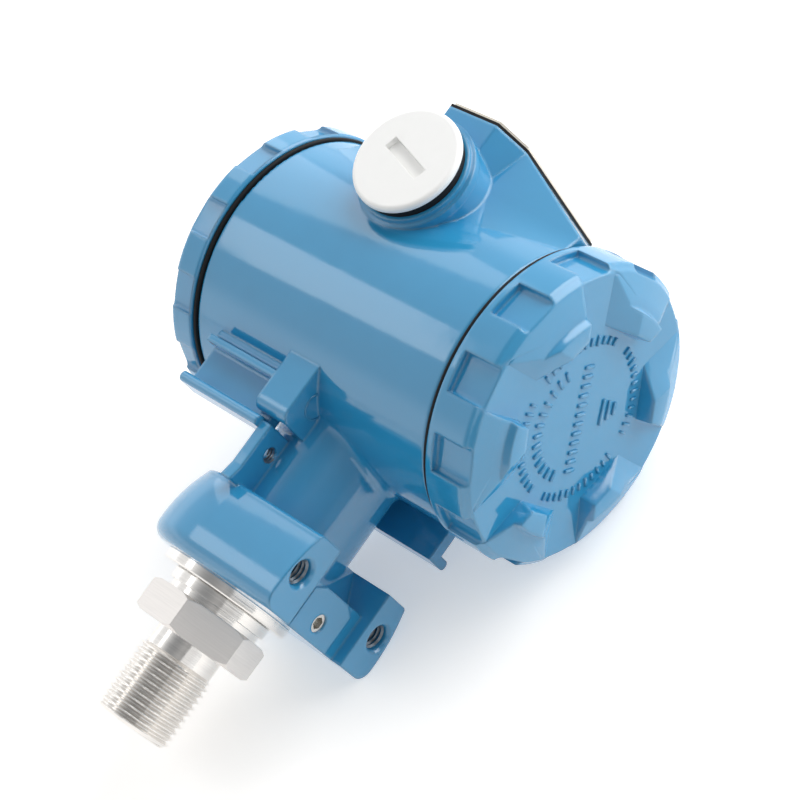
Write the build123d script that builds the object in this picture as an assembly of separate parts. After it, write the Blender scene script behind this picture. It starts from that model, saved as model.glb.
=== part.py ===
from build123d import *
import math
import os

os.makedirs("parts", exist_ok=True)

# Millimetres, +Z up. The process thread hangs on the Z axis and the hexagon's
# underside is z = 0. The barrel lies along X with the front cover at +X.

# Fits
slip_fit = 0.1
screw_gap = 0.3
seat_gap = 0.05

# How far a cutting shape runs past a face
cut_past = 5.0

# Barrel of the housing
barrel_z = 96.0
barrel_r = 37.9
front_end_x = 41.3
rear_end_x = -39.8
barrel_edge_r = 0.8
chamber_r = 31.6
partition_x = 11.0
partition_t = 3.7

# Screwed covers
seal_t = 1.25
seal_w = 3.2
cover_spigot_r = 33.7
cover_spigot_len = 10.5
cover_spigot_wall = 3.2
cover_rim_r = 39.2
cover_rim_len = 11.6
rear_rim_len = 7.2
rear_cover_turn = 1.3
cover_rim_taper = 0.5
cover_disc_rise = 1.35
cover_disc_r = 37.2
cover_disc_t = 3.2
flute_count = 12
flute_angle = 15.5
flute_depth = 1.9
flute_margin = 2.4
rear_flute_margin = 0.5
flute_phase = 12.0
lug_count = 6
lug_phase = 12.0
lug_height = 2.4
lug_foot_r = 24.0
lug_root_w = 4.0
lug_foot_ramp_angle = 17.4
lug_foot_steep_angle = 18.5
lug_crest_start_r = 28.05
lug_crest_start_angle = -1.2
lug_crest_end_r = 30.0
lug_crest_end_angle = 19.2
lug_crest_outer_r = 30.6
lug_rim_ramp_angle = 21.5
lug_rim_steep_angle = 22.5

# Roof and name plate
roof_rise = 48.0
roof_z = barrel_z + roof_rise
roof_flat_half = 13.2
roof_front_fall_ratio = 0.5
roof_rear_fall_ratio = 1.0
roof_half_w = 22.5
roof_lean_ratio = 0.282
roof_taper_ratio = 0.141
flare_rise = 33.0
flare_z = barrel_z + flare_rise
flare_angle = 64.0
flare_end_angle = 54.0
flare_sink = 0.4
nose_reach = 31.4
nose_half = 7.9
plate_gasket_t = 0.8
plate_t = 0.8
plate_inset = 0.7
plate_screw_y = 26.0
plate_screw_r = 1.3
plate_screw_head_r = 2.4
plate_screw_head_t = 1.1
plate_screw_len = 5.0

# Conduit entries and plugs
conduit_rise = 27.0
conduit_z = barrel_z + conduit_rise
boss_r = 15.2
boss_reach = 0.1
boss_end_y = barrel_r + boss_reach
boss_lip_r = 14.7
bead_r = 15.7
bead_w = 2.6
bead_back = 1.6
conduit_run_out = 2.0
conduit_throat_r = 8.2
conduit_throat_y = 12.0
plug_shank_r = 10.0
plug_shank_len = 12.7
plug_shank_wall = 2.4
plug_floor_t = 1.2
plug_head_r = 14.4
plug_head_t = 1.8
plug_edge_r = 1.1
plug_slot_len = 14.4
plug_slot_w = 3.4
plug_slot_depth = 1.6
plug_slot_tilt = -19.0
plug_gasket_t = 2.9
plug_gasket_r = 13.7

# Neck and sensor block
neck_x = 4.3
neck_r = 17.2
neck_bottom_z = 31.0
neck_blend_r = 2.5
passage_r = 6.0
block_z = 16.7
block_top_z = 37.9
block_round_x = 2.1
block_front_x = 31.0
block_half_w = 25.9
block_top_half_w = 23.2
block_bulge = 0.85
block_foot_r = 4.1
block_crown_r = 1.4
bay_half_w = 13.6
bay_x = 27.8
bay_slope_z = 29.7
bay_slope_x = 22.5
bay_slope_top_x = 18.2
panel_x = 28.3
panel_half_w = 9.6
panel_chamfer_w = 4.1
panel_chamfer_h = 1.9
bracket_hole_y = 20.65
bracket_hole_z = 27.8
bracket_hole_r = 3.4
bracket_hole_depth = 12.0
bracket_sink_r = 4.2

# Grounding ears and label pads on both flanks
ear_half_t = 1.6
ear_reach = 26.2
ear_top_z = 53.4
ear_foot_reach = 27.2
ear_foot_h = 3.2
ear_hole_y = 19.9
ear_hole_z = 47.7
ear_hole_r = 2.1
pad_half_w = 5.2
pad_reach = 28.7
pad_z = 55.2
pad_h = 16.5
pad_corner_r = 3.0

# Stiffening rails under the barrel
rail_x = 1.6
rail_end_x = 29.9
rail_inner_y = 20.4
rail_web_y = 24.1
rail_flange_y = 28.3
rail_z = 51.3
rail_lip_h = 2.7
rail_lip_r = 1.3
rail_flange_z = 63.3
rail_flange_h = 1.9
rail_ridge_y = 26.0
rail_ridge_z = 65.7
rail_ridge_h = 1.6
rail_root_h = 4.0

# Process connector, turned from one bar
thread_r = 10.48
thread_z = -22.5
tip_z = -24.5
tip_r = 9.8
relief_z = -4.7
relief_r = 9.3
hex_h = 9.1
hex_across_flats = 29.1
hex_turn = -75.5
hex_chamfer_r = 16.1
groove_r = 12.9
groove_top_z = 10.9
collar_r = 14.0
collar_top_z = 13.7
flange_r = 18.0
flange_z = 13.9
flange_edge = 0.4
port_r = 3.0
spigot_r = 16.7
spigot_top_z = 29.0
seal_groove_z = 25.8
seal_groove_h = 2.2
seal_groove_depth = 2.0
lock_groove_z = 21.6
lock_groove_h = 6.8
lock_groove_depth = 1.3
cup_r = 13.2
cup_floor_z = 17.5
capsule_seal_t = 1.0
capsule_seal_w = 2.4
capsule_t = 7.0
capsule_stub_r = 3.4
capsule_stub_h = 3.6
retainer_t = 2.6
well_r = 13.6
well_top_z = 33.4
set_screw_r = 2.5
set_screw_key_r = 1.45
set_screw_key_depth = 2.4
set_screw_recess = 0.4

# Sensor lead
lead_r = 1.6
lead_drop = 24.4
lead_z = barrel_z - lead_drop
lead_bend_r = 3.5
lead_hole_r = 3.0
lead_plug_w = 8.0
lead_plug_h = 5.0
lead_plug_t = 2.5

# Electronics in the front chamber
stand_r = 3.2
stand_pitch_r = 23.5
stand_h = 3.0
stand_turn = 90.0
cup_outer_r = 29.2
cup_depth = 15.5
cup_wall = 1.6
cup_rim_t = 2.0
board_r = 27.2
board_t = 1.6
module_screw_r = 1.5
module_screw_head_r = 2.6
module_screw_head_t = 1.8
module_screw_bite = 5.0
module_boss_r = 3.2
socket_w = 12.0
socket_h = 7.0
socket_depth = 1.0

# Terminals in the rear chamber
feed_r = 5.0
feed_lip = 0.9
feed_lip_r = 6.2
pin_r = 0.5
pin_pitch = 2.6
pin_reach = 2.2
base_r = 21.4
base_t = 7.0
base_flat_drop = 18.8
base_flat_z = barrel_z - base_flat_drop
base_recess_r = 8.0
base_recess_t = 4.0
bridge_half_w = 17.0
bridge_drop = 5.0
bridge_z = barrel_z - bridge_drop
bridge_h = 14.0
bridge_t = 7.0
terminal_count = 3
terminal_pitch = 10.6
terminal_rise = 2.0
terminal_z = barrel_z + terminal_rise
terminal_pocket_w = 8.2
terminal_pocket_t = 5.0
clamp_w = 7.4
clamp_t = 1.2
terminal_screw_r = 1.75
terminal_head_r = 3.3
terminal_head_t = 2.2
terminal_screw_len = 6.0
slot_w = 0.9
slot_depth = 1.0
base_screw_y = 12.5
base_screw_drop = 12.5
base_screw_z = barrel_z - base_screw_drop
base_screw_r = 1.5
base_screw_head_r = 2.8
base_screw_head_t = 1.8
base_screw_bite = 2.6
base_screw_sink = 2.4
earth_y = -22.0
earth_drop = 16.0
earth_z = barrel_z - earth_drop
earth_pad_r = 5.0
earth_pad_h = 3.0
earth_screw_r = 2.0
earth_head_r = 3.7
earth_head_t = 2.4
earth_screw_len = 6.0

partition_front_x = partition_x + partition_t
cup_x = partition_front_x + stand_h
board_x = cup_x
lead_plug_x = board_x - lead_plug_t
base_x = partition_x - base_t
bridge_x = base_x - bridge_t
pocket_x = bridge_x + terminal_pocket_t
capsule_top_z = cup_floor_z + capsule_seal_t + capsule_t + capsule_stub_h
plate_top_z = roof_z + plate_gasket_t + plate_t
plate_screw_tip_z = roof_z - plate_screw_len
on_floor = (Align.CENTER, Align.CENTER, Align.MIN)


def turned(points):
    """Solid turned about Z from (radius, height) points."""
    return revolve(Plane.XZ * Polygon(*points, align=None), Axis.Z)


def rod(radius, start, end):
    """Round bar between two points."""
    span = Vector(*end) - Vector(*start)
    return Plane(origin=start, z_dir=span) * Cylinder(radius, span.length, align=on_floor)


def slab(x0, x1, y0, y1, z0, z1):
    """Rectangular block between two corners."""
    centre = Pos((x0 + x1) / 2, (y0 + y1) / 2, (z0 + z1) / 2)
    return centre * Box(x1 - x0, y1 - y0, z1 - z0)


def half_turn(shape):
    """The same shape turned half round the process axis."""
    return Rot(0, 0, 180) * shape


def front_seat():
    """Frame of the front cover: Z runs out of the barrel, X points to -Y."""
    return Plane(origin=(front_end_x, 0, barrel_z), x_dir=(0, -1, 0), z_dir=(1, 0, 0))


def rear_seat():
    """Frame of the rear cover, the front one turned half round."""
    return Plane(origin=(rear_end_x, 0, barrel_z), x_dir=(0, 1, 0), z_dir=(-1, 0, 0))


def conduit_seat(side):
    """Frame of a conduit mouth, Z running out of it. side is -1 or 1."""
    return Plane(origin=(0, side * boss_end_y, conduit_z), x_dir=(-side, 0, 0), z_dir=(0, side, 0))


def barrel():
    """Plain drum that both covers screw into."""
    drum = rod(barrel_r, (rear_end_x, 0, barrel_z), (front_end_x, 0, barrel_z))
    return fillet(drum.edges().filter_by(GeomType.CIRCLE), barrel_edge_r)


def barrel_with_neck():
    """Drum standing on the round neck, with a cast blend between them."""
    drum = barrel()
    neck = rod(neck_r, (neck_x, 0, neck_bottom_z), (neck_x, 0, barrel_z))
    joined = drum + neck
    return fillet(new_edges(drum, neck, combined=joined), neck_blend_r)


def flank_section(x, angle):
    """Cross section of the roof that flares into the barrel at an angle from its top."""
    lean = Vector(roof_lean_ratio, -1).normalized()
    drawn_in = roof_taper_ratio * (x - roof_flat_half)
    top_y = roof_half_w - drawn_in
    crease_y = top_y + roof_lean_ratio * (roof_z - flare_z)
    turn = math.radians(angle)
    foot_r = barrel_r - flare_sink
    foot = (foot_r * math.sin(turn), barrel_z + foot_r * math.cos(turn))
    run_out = Vector(math.cos(turn), -math.sin(turn))
    blend = Spline((crease_y, flare_z), foot, tangents=[lean, run_out])
    outline = [
        Line((0, roof_z), (top_y, roof_z)),
        Line((top_y, roof_z), (crease_y, flare_z)),
        blend,
        Line(foot, (0, foot[1])),
        Line((0, foot[1]), (0, roof_z)),
    ]
    plane = Plane(origin=(x, 0, 0), x_dir=(0, 1, 0), z_dir=(1, 0, 0))
    return plane * make_face(outline)


def roof():
    """Name plate platform: a faceted nose on each flank and a slope to each end."""
    base_z = barrel_z + barrel_r / 3
    front_drop = roof_z - roof_front_fall_ratio * (front_end_x - roof_flat_half)
    rear_drop = roof_z - roof_rear_fall_ratio * (-rear_end_x - roof_flat_half)
    side_view = Polygon(
        (rear_end_x, base_z),
        (front_end_x, base_z),
        (front_end_x, front_drop),
        (roof_flat_half, roof_z),
        (-roof_flat_half, roof_z),
        (rear_end_x, rear_drop),
        align=None,
    )
    long_wedge = extrude(Plane.XZ * side_view, 2 * nose_reach, both=True)
    middle = flank_section(roof_flat_half, flare_angle)
    quarter = loft([middle, flank_section(front_end_x, flare_end_angle)], ruled=True)
    half = extrude(middle, -roof_flat_half) + quarter
    half = half + mirror(half, about=Plane.YZ)
    across = half + mirror(half, about=Plane.XZ)
    nose = Pos(0, 0, conduit_z) * extrude(nose_outline(0), roof_z - conduit_z)
    return (long_wedge & across) + nose


def nose_outline(inset):
    """Octagon of the name plate platform, drawn in by an inset."""
    flat = roof_flat_half - inset
    reach = nose_reach - inset
    shoulder = roof_half_w - inset / 2
    tip = nose_half - inset / 2
    corners = [(tip, -reach), (flat, -shoulder), (flat, shoulder), (tip, reach)]
    return Polygon(*corners, *[(-x, -y) for x, y in corners], align=None)


def conduit_boss(side):
    """Round conduit entry with a bead behind its mouth."""
    back = boss_end_y - bead_back - bead_w
    mouth = boss_end_y - bead_back
    slope = bead_r - boss_r
    shape = turned([
        (0, -boss_end_y),
        (boss_r, -boss_end_y),
        (boss_r, back - slope - boss_end_y),
        (bead_r, back - boss_end_y),
        (bead_r, mouth - boss_end_y),
        (boss_lip_r, mouth - boss_end_y),
        (boss_lip_r, 0),
        (0, 0),
    ])
    return conduit_seat(side) * shape


def block_half_section():
    """Half of the sensor block's cross section: a belly with a crowned top edge."""
    foot = (block_half_w - block_foot_r, block_z)
    belly = (block_half_w, block_z + block_foot_r)
    crown = (block_top_half_w, block_top_z - block_crown_r)
    middle_w = (belly[0] + crown[0]) / 2 + block_bulge
    middle = (middle_w, (belly[1] + crown[1]) / 2)
    inner = (block_top_half_w - block_crown_r, block_top_z)
    bend = block_crown_r * (1 - math.sqrt(0.5))
    corner = (block_top_half_w - bend, block_top_z - bend)
    outline = [
        Line((0, block_z), foot),
        TangentArc(foot, belly, tangent=(1, 0)),
        ThreePointArc(belly, middle, crown),
        ThreePointArc(crown, corner, inner),
        Line(inner, (0, block_top_z)),
        Line((0, block_top_z), (0, block_z)),
    ]
    return make_face(outline)


def bay():
    """Recess between the two mounting lugs, with a slope above it."""
    over = block_front_x + cut_past
    slot = slab(bay_x, over, -bay_half_w, bay_half_w, block_z - 1, block_top_z + 1)
    fall = (bay_slope_x - bay_slope_top_x) / (block_top_z - bay_slope_z)
    wedge = Polygon(
        (over, bay_slope_z),
        (bay_slope_x, bay_slope_z),
        (bay_slope_top_x - fall, block_top_z + 1),
        (over, block_top_z + 1),
        align=None,
    )
    return slot + extrude(Plane.XZ * wedge, bay_half_w, both=True)


def bay_panel():
    """Raised panel that carries the set screw."""
    shoulder = bay_slope_z - panel_chamfer_h
    inner = panel_half_w - panel_chamfer_w
    face = Polygon(
        (-panel_half_w, block_z),
        (panel_half_w, block_z),
        (panel_half_w, shoulder),
        (inner, bay_slope_z),
        (-inner, bay_slope_z),
        (-panel_half_w, shoulder),
        align=None,
    )
    plane = Plane(origin=(bay_slope_x, 0, 0), x_dir=(0, 1, 0), z_dir=(1, 0, 0))
    return extrude(plane * face, panel_x - bay_slope_x)


def bracket_hole(side):
    """Blind tapped hole with a countersunk mouth in a mounting lug."""
    y = side * bracket_hole_y
    start = (block_front_x, y, bracket_hole_z)
    hole = rod(bracket_hole_r, (block_front_x - bracket_hole_depth, y, bracket_hole_z), start)
    sink_depth = bracket_sink_r - bracket_hole_r
    seat = Plane(origin=start, z_dir=(-1, 0, 0))
    sink = seat * Cone(bracket_sink_r, bracket_hole_r, sink_depth, align=on_floor)
    return hole + sink


def sensor_block():
    """Block at the foot of the neck: round at the rear, two lugs at the front."""
    seat = Plane(origin=(block_round_x, 0, 0), x_dir=(0, 1, 0), z_dir=(1, 0, 0))
    half = seat * block_half_section()
    rear = revolve(half, Axis((block_round_x, 0, 0), (0, 0, 1)), revolution_arc=180)
    flank = extrude(half, block_front_x - block_round_x)
    solid = rear + flank + mirror(flank, about=Plane.XZ)
    solid = solid - bay() + bay_panel()
    return solid - bracket_hole(-1) - bracket_hole(1)


def grounding_ear():
    """Thin ear on the -Y flank of the neck with a tapped hole."""
    profile = Polygon(
        (0, block_top_z - 1),
        (-ear_foot_reach, block_top_z - 1),
        (-ear_reach, block_top_z + ear_foot_h),
        (-ear_reach, ear_top_z),
        (0, ear_top_z),
        align=None,
    )
    plane = Plane(origin=(0, 0, 0), x_dir=(0, 1, 0), z_dir=(1, 0, 0))
    return extrude(plane * profile, ear_half_t, both=True)


def ear_hole():
    """Through hole of the grounding ear."""
    ends = [(x, -ear_hole_y, ear_hole_z) for x in (-ear_half_t - 1, ear_half_t + 1)]
    return rod(ear_hole_r, ends[0], ends[1])


def label_pad():
    """Square pad above the ear for a small sign."""
    face = Pos(-(pad_reach - pad_h / 2), pad_z + pad_h / 2) * Rectangle(pad_h, pad_h)
    corner = face.vertices().sort_by(Axis.X)[:2].sort_by(Axis.Y)[0]
    face = fillet(corner, pad_corner_r)
    plane = Plane(origin=(0, 0, 0), x_dir=(0, 1, 0), z_dir=(1, 0, 0))
    inward = slab(-pad_half_w, pad_half_w, -pad_reach + pad_h - 1, 0, pad_z, pad_z + pad_h)
    return extrude(plane * face, pad_half_w, both=True) + inward


def rail():
    """Channel shaped rail under the -Y flank of the barrel."""
    lip_z = rail_z + rail_lip_h
    flange_top = rail_flange_z + rail_flange_h
    ridge_top = rail_ridge_z + rail_ridge_h
    groove_y = rail_ridge_y - 0.9
    root_z = ridge_top + rail_root_h
    outline = Polygon(
        (-rail_inner_y, rail_z),
        (-rail_flange_y, rail_z),
        (-rail_flange_y, lip_z),
        (-rail_web_y, lip_z),
        (-rail_web_y, rail_flange_z),
        (-rail_flange_y, rail_flange_z),
        (-rail_flange_y, flange_top),
        (-groove_y, flange_top),
        (-groove_y, rail_ridge_z),
        (-rail_ridge_y, rail_ridge_z),
        (-rail_ridge_y, ridge_top),
        (-rail_inner_y - 2, root_z),
        (-rail_inner_y, root_z),
        align=None,
    )
    lip = outline.vertices().filter_by(lambda v: v.Y < lip_z + 0.01 and v.X < -rail_web_y - 1)
    outline = fillet(lip, rail_lip_r)
    plane = Plane(origin=(-rail_end_x, 0, 0), x_dir=(0, 1, 0), z_dir=(1, 0, 0))
    return extrude(plane * outline, rail_end_x - rail_x, dir=(1, 0, 0))


def chambers():
    """Both hollows of the barrel with their cover threads."""
    spigot_bore = cover_spigot_r + screw_gap
    depth = cover_spigot_len + 2
    rear_wall = (partition_x, 0, barrel_z)
    front_wall = (partition_front_x, 0, barrel_z)
    space = rod(chamber_r, (rear_end_x - 1, 0, barrel_z), rear_wall)
    space += rod(chamber_r, front_wall, (front_end_x + 1, 0, barrel_z))
    for end, way in ((front_end_x, 1), (rear_end_x, -1)):
        mouth = (end + way, 0, barrel_z)
        space += rod(spigot_bore, (end - way * depth, 0, barrel_z), mouth)
    return space


def stand_points(radius):
    """Three places of the module's stands, on a circle round the barrel axis."""
    turns = [math.radians(stand_turn + 120 * i) for i in range(3)]
    return [(radius * math.cos(t), barrel_z + radius * math.sin(t)) for t in turns]


def stands():
    """Bosses on the partition: three for the module and one for the earth screw."""
    root = partition_x + 1
    solid = rod(earth_pad_r, (root, earth_y, earth_z), (partition_x - earth_pad_h, earth_y, earth_z))
    for y, z in stand_points(stand_pitch_r):
        solid += rod(stand_r, (root, y, z), (cup_x, y, z))
    return solid


def partition_holes():
    """Feedthrough, lead, screw and earth holes of the partition."""
    centre = barrel_z
    cut = rod(feed_r, (partition_x - 1, 0, centre), (partition_front_x + 1, 0, centre))
    cut += rod(lead_hole_r, (partition_x - 1, 0, lead_z), (partition_front_x + 1, 0, lead_z))
    for y, z in stand_points(stand_pitch_r):
        cut += rod(module_screw_r, (cup_x - module_screw_bite, y, z), (cup_x + 1, y, z))
    for side in (-1, 1):
        y = side * base_screw_y
        bite = partition_x + base_screw_bite
        cut += rod(base_screw_r, (partition_x - 1, y, base_screw_z), (bite, y, base_screw_z))
    earth_top = partition_x - earth_pad_h
    earth_end = earth_top + earth_screw_len
    cut += rod(earth_screw_r, (earth_top - 1, earth_y, earth_z), (earth_end, earth_y, earth_z))
    return cut


def lower_bore():
    """Socket of the process connector and the way up through the neck."""
    socket = rod(spigot_r + slip_fit, (0, 0, block_z - 1), (0, 0, spigot_top_z + slip_fit))
    well = rod(well_r, (0, 0, block_z), (0, 0, well_top_z))
    chamber_floor = barrel_z - chamber_r
    passage = rod(passage_r, (neck_x, 0, well_top_z - 1), (neck_x, 0, chamber_floor + 1))
    screw = rod(set_screw_r, (0, 0, lock_groove_z), (panel_x + 1, 0, lock_groove_z))
    return socket + well + passage + screw


def conduit_bore(side):
    """Threaded way from a conduit mouth into the rear chamber."""
    bore_r = plug_shank_r + screw_gap
    floor_y = boss_end_y - plug_shank_len - conduit_run_out
    mouth = (0, side * (boss_end_y + 1), conduit_z)
    wide = rod(bore_r, (0, side * floor_y, conduit_z), mouth)
    narrow = rod(conduit_throat_r, (0, side * conduit_throat_y, conduit_z), mouth)
    return wide + narrow


def plate_screw_hole(side):
    """Blind hole of a name plate screw."""
    y = side * plate_screw_y
    return rod(plate_screw_r, (0, y, plate_screw_tip_z), (0, y, roof_z + 1))


def housing():
    """One aluminium casting with two chambers, neck and sensor block."""
    body = barrel_with_neck() + roof() + sensor_block()
    flank = grounding_ear() + label_pad() + rail()
    body = body + flank + half_turn(flank)
    body = body + conduit_boss(-1) + conduit_boss(1)
    body = body - chambers() - lower_bore() - conduit_bore(-1) - conduit_bore(1)
    body = body + stands() - partition_holes()
    body = body - ear_hole() - half_turn(ear_hole())
    return body - plate_screw_hole(-1) - plate_screw_hole(1)


def cover_blank(rim_len):
    """Turned form of a cover: threaded spigot, rim and flat face."""
    rim_z = seal_t + rim_len
    face_z = rim_z + cover_disc_rise
    inner = cover_spigot_r - cover_spigot_wall
    return turned([
        (0, face_z),
        (cover_disc_r, face_z),
        (cover_rim_r - 0.2, rim_z),
        (cover_rim_r, rim_z - cover_rim_taper),
        (cover_rim_r, seal_t + cover_rim_taper),
        (cover_rim_r - cover_rim_taper, seal_t),
        (cover_spigot_r, seal_t),
        (cover_spigot_r, -cover_spigot_len + 1),
        (cover_spigot_r - 1, -cover_spigot_len),
        (inner, -cover_spigot_len),
        (inner, face_z - cover_disc_t),
        (0, face_z - cover_disc_t),
    ])


def lug_ring(rim_len):
    """Turned ring that gives the lugs their crest and their slope to the rim."""
    rim_z = seal_t + rim_len
    face_z = rim_z + cover_disc_rise
    crest_z = face_z + lug_height
    return turned([
        (lug_foot_r - lug_root_w, rim_z - 1),
        (cover_rim_r - cover_rim_taper, rim_z - 1),
        (cover_rim_r, rim_z - cover_rim_taper),
        (cover_disc_r + 0.3, face_z + 0.1),
        (lug_crest_outer_r, crest_z),
        (lug_foot_r - lug_root_w, crest_z),
    ])


def lug_corner(radius, angle, height):
    """Corner of a lug; the angle runs towards its long ramp."""
    turn = math.radians(angle)
    return Vector(radius * math.cos(turn), radius * math.sin(turn), height)


def cut_below(shape, first, second, third):
    """Keep the side of the plane through three corners that holds the lug's root."""
    plane = Plane(origin=first, x_dir=second - first, z_dir=(second - first).cross(third - first))
    return split(shape, bisect_by=plane, keep=Keep.BOTTOM)


def lug(rim_len):
    """Grip lug: inner slope, long ramp on one end and a steep other end."""
    rim_z = seal_t + rim_len
    face_z = rim_z + cover_disc_rise
    crest_z = face_z + lug_height
    foot_ramp = lug_corner(lug_foot_r, lug_foot_ramp_angle, face_z)
    foot_steep = lug_corner(lug_foot_r, -lug_foot_steep_angle, face_z)
    crest_start = lug_corner(lug_crest_start_r, lug_crest_start_angle, crest_z)
    crest_end = lug_corner(lug_crest_end_r, -lug_crest_end_angle, crest_z)
    rim_ramp = lug_corner(cover_disc_r, lug_rim_ramp_angle, face_z - cover_disc_rise / 3)
    rim_steep = lug_corner(cover_rim_r, -lug_rim_steep_angle, rim_z)
    wedge = lug_ring(rim_len)
    wedge = cut_below(wedge, foot_steep, crest_start, foot_ramp)
    wedge = cut_below(wedge, foot_ramp, crest_start, rim_ramp)
    return cut_below(wedge, foot_steep, rim_steep, crest_end)


def cover(rim_len, margin):
    """Screwed cap with grip lugs on its face and flutes round its rim."""
    body = cover_blank(rim_len)
    grip = lug(rim_len)
    step = 360 / lug_count
    for i in range(lug_count):
        body += Rot(0, 0, -lug_phase - step * i) * grip
    low = seal_t + margin
    high = seal_t + rim_len + cover_disc_rise + 1
    root = cover_rim_r - flute_depth
    half_w = root * math.sin(math.radians(flute_angle / 2))
    flute = slab(root, cover_rim_r + cut_past, -half_w, half_w, low, high)
    flute = fillet(flute.edges().filter_by(Axis.Z).group_by(Axis.X)[0], flute_depth * 0.45)
    for i in range(flute_count):
        body -= Rot(0, 0, -flute_phase - 360 / flute_count * i) * flute
    return body


def cover_seal():
    """O-ring in the joint line between barrel and cover."""
    inner = cover_spigot_r + slip_fit
    outer = inner + seal_w
    return turned([
        (inner, seat_gap),
        (outer, seat_gap),
        (outer, seal_t - seat_gap),
        (inner, seal_t - seat_gap),
    ])


def conduit_plug():
    """Moulded blanking plug with a hollow shank and a wide slot."""
    head_z = plug_gasket_t + plug_head_t
    body = turned([
        (0, plug_gasket_t - plug_floor_t),
        (plug_shank_r - plug_shank_wall, plug_gasket_t - plug_floor_t),
        (plug_shank_r - plug_shank_wall, plug_gasket_t - plug_shank_len),
        (plug_shank_r - 0.8, plug_gasket_t - plug_shank_len),
        (plug_shank_r, plug_gasket_t - plug_shank_len + 0.8),
        (plug_shank_r, plug_gasket_t),
        (plug_head_r, plug_gasket_t),
        (plug_head_r, head_z),
        (0, head_z),
    ])
    rim = body.edges().filter_by(GeomType.CIRCLE).sort_by(Axis.Z)[-1]
    body = fillet(rim, plug_edge_r)
    slot = Pos(0, 0, head_z - plug_slot_depth) * Rot(0, 0, plug_slot_tilt)
    slot *= Box(plug_slot_len, plug_slot_w, plug_slot_depth + 1, align=on_floor)
    return body - slot


def plug_gasket():
    """Flat washer under the plug's head."""
    inner = plug_shank_r + slip_fit
    return turned([
        (inner, seat_gap),
        (plug_gasket_r, seat_gap),
        (plug_gasket_r, plug_gasket_t - seat_gap),
        (inner, plug_gasket_t - seat_gap),
    ])


def plate_layer(low, high, inset):
    """Octagonal layer on the roof with two screw holes."""
    layer = Pos(0, 0, low) * extrude(nose_outline(inset), high - low)
    for side in (-1, 1):
        y = side * plate_screw_y
        layer -= rod(plate_screw_r, (0, y, low - 1), (0, y, high + 1))
    return layer


def plate_screw(side):
    """Round head drive screw of the name plate."""
    y = side * plate_screw_y
    low = plate_top_z
    body = rod(plate_screw_r, (0, y, plate_screw_tip_z), (0, y, low))
    head = rod(plate_screw_head_r, (0, y, low), (0, y, low + plate_screw_head_t))
    rim = head.edges().filter_by(GeomType.CIRCLE).sort_by(Axis.Z)[-1]
    return body + fillet(rim, plate_screw_head_t * 0.6)


def process_connector():
    """Stainless connector: thread, hexagon, collars, flange and locked spigot."""
    body = turned([
        (0, tip_z),
        (tip_r, tip_z),
        (tip_r, thread_z),
        (thread_r, thread_z + thread_r - tip_r),
        (thread_r, relief_z - thread_r + relief_r),
        (relief_r, relief_z),
        (relief_r, 0),
        (groove_r, 0),
        (groove_r, groove_top_z),
        (collar_r, groove_top_z),
        (collar_r, collar_top_z),
        (groove_r, collar_top_z),
        (groove_r, flange_z),
        (flange_r - flange_edge, flange_z),
        (flange_r, flange_z + flange_edge),
        (flange_r, block_z),
        (spigot_r, block_z),
        (spigot_r, lock_groove_z - lock_groove_h / 2),
        (spigot_r - lock_groove_depth, lock_groove_z - lock_groove_h / 2 + lock_groove_depth),
        (spigot_r - lock_groove_depth, lock_groove_z + lock_groove_h / 2 - lock_groove_depth),
        (spigot_r, lock_groove_z + lock_groove_h / 2),
        (spigot_r, seal_groove_z),
        (spigot_r - seal_groove_depth, seal_groove_z),
        (spigot_r - seal_groove_depth, seal_groove_z + seal_groove_h),
        (spigot_r, seal_groove_z + seal_groove_h),
        (spigot_r, spigot_top_z),
        (cup_r, spigot_top_z),
        (cup_r, cup_floor_z),
        (0, cup_floor_z),
    ])
    hexagon = extrude(RegularPolygon(hex_across_flats / 2, 6, major_radius=False), hex_h)
    crown = turned([
        (0, 0),
        (hex_chamfer_r - 0.8, 0),
        (hex_chamfer_r + 0.9, 1.0),
        (hex_chamfer_r + 0.9, hex_h - 1.0),
        (hex_chamfer_r - 0.8, hex_h),
        (0, hex_h),
    ])
    body += Rot(0, 0, hex_turn) * (hexagon & crown)
    return body - rod(port_r, (0, 0, tip_z - 1), (0, 0, cup_floor_z + 1))


def connector_seal():
    """O-ring of the connector's spigot."""
    outer = spigot_r + slip_fit
    low = seal_groove_z + slip_fit
    inner = spigot_r - seal_groove_depth
    return turned([
        (inner, low),
        (outer, low),
        (outer, seal_groove_z + seal_groove_h - slip_fit),
        (inner, seal_groove_z + seal_groove_h - slip_fit),
    ])


def capsule_seal():
    """Flat ring under the pressure capsule."""
    outer = cup_r - slip_fit
    inner = outer - capsule_seal_w
    low = cup_floor_z
    high = low + capsule_seal_t
    return turned([(inner, low), (outer, low), (outer, high), (inner, high)])


def sensor_capsule():
    """Round pressure capsule with a shallow diaphragm and a lead stub."""
    low = cup_floor_z + capsule_seal_t
    high = low + capsule_t
    outer = cup_r - slip_fit
    body = turned([
        (0, low + 0.5),
        (outer - capsule_seal_w - 0.6, low + 0.5),
        (outer - capsule_seal_w, low),
        (outer, low),
        (outer, high),
        (0, high),
    ])
    stub = rod(capsule_stub_r, (neck_x, 0, high), (neck_x, 0, high + capsule_stub_h))
    return body + stub


def capsule_retainer():
    """Screwed ring that holds the capsule down."""
    low = cup_floor_z + capsule_seal_t + capsule_t
    outer = cup_r - slip_fit
    ring = rod(outer, (0, 0, low), (0, 0, low + retainer_t))
    bore_r = neck_x + capsule_stub_r + screw_gap
    ring -= rod(bore_r, (0, 0, low - 1), (0, 0, low + retainer_t + 1))
    for turn in (0, 90, 180, 270):
        notch = slab(outer - 2, outer + 1, -1, 1, low + retainer_t - 1.2, low + retainer_t + 1)
        ring -= Rot(0, 0, turn + 45) * notch
    return ring


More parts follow.
